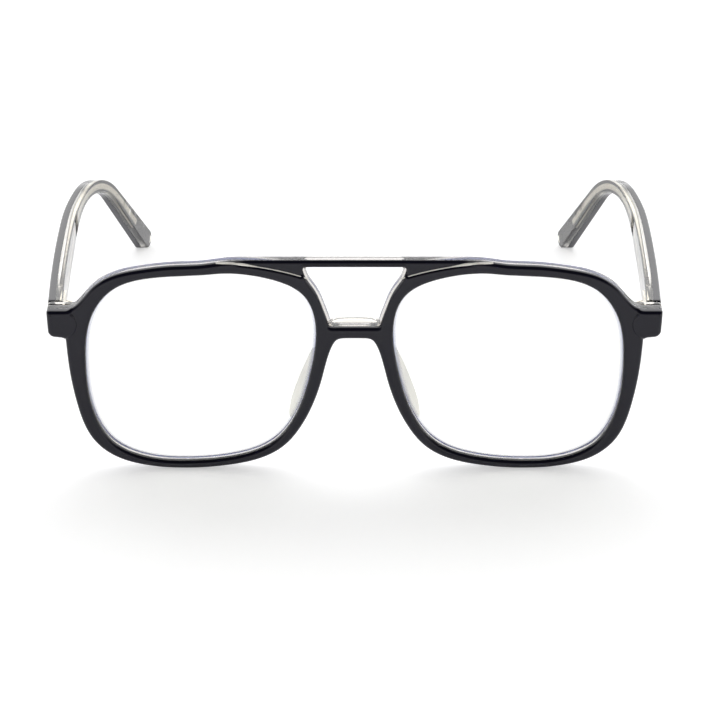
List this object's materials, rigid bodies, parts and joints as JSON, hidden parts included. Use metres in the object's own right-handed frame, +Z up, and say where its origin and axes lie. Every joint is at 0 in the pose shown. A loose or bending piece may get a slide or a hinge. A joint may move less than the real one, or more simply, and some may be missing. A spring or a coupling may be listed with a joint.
{
  "type": "blue light glasses",
  "caption": "Spectacles with a double-bridge front of black over clear acetate, coated plain lenses, built-up nose pads and hinged temples with drop tips.",
  "frame": {"origin": "middle of the footprint, on the surface that the rims and temple tips stand on", "axes": "+Z up; -Y is where the lenses face; +X is to the right as seen from the front; the open temples run towards +Y"},
  "size_m": [0.1484, 0.132, 0.055],
  "materials": {
    "black_acetate": "polished black cellulose acetate",
    "clear_acetate": "polished clear cellulose acetate with a faint warm tint",
    "coated_lens": "clear plain lens with a blue-filtering, blue-violet reflecting coating",
    "hinge_metal": "nickel-plated barrel hinge parts",
    "core_wire_metal": "bright nickel-silver core wire"
  },
  "bodies": {
    "front": {"front_black_layer": "black_acetate", "front_clear_layer": "clear_acetate", "bridge_block": "clear_acetate", "lens_right": "coated_lens", "nose_pad_right": "clear_acetate", "endpiece_block_right": "clear_acetate", "hinge_front_leaf_right": "hinge_metal", "hinge_screw_right": "hinge_metal", "lens_left": "coated_lens", "nose_pad_left": "clear_acetate", "endpiece_block_left": "clear_acetate", "hinge_front_leaf_left": "hinge_metal", "hinge_screw_left": "hinge_metal"},
    "temple_right": {"temple_outer_layer_right": "black_acetate", "temple_inner_layer_right": "clear_acetate", "core_wire_right": "core_wire_metal", "hinge_temple_leaf_right": "hinge_metal"},
    "temple_left": {"temple_outer_layer_left": "black_acetate", "temple_inner_layer_left": "clear_acetate", "core_wire_left": "core_wire_metal", "hinge_temple_leaf_left": "hinge_metal"}
  },
  "joints": [
    {"name": "fold_right", "type": "hinge", "parent": "front", "child": "temple_right", "pos_m": [0.06785, -0.05865, 0.03885], "axis": [0, 0, 1], "range_deg": [0, 85]},
    {"name": "fold_left", "type": "hinge", "parent": "front", "child": "temple_left", "pos_m": [-0.06785, -0.05865, 0.03885], "axis": [0, 0, -1], "range_deg": [0, 80]}
  ]
}
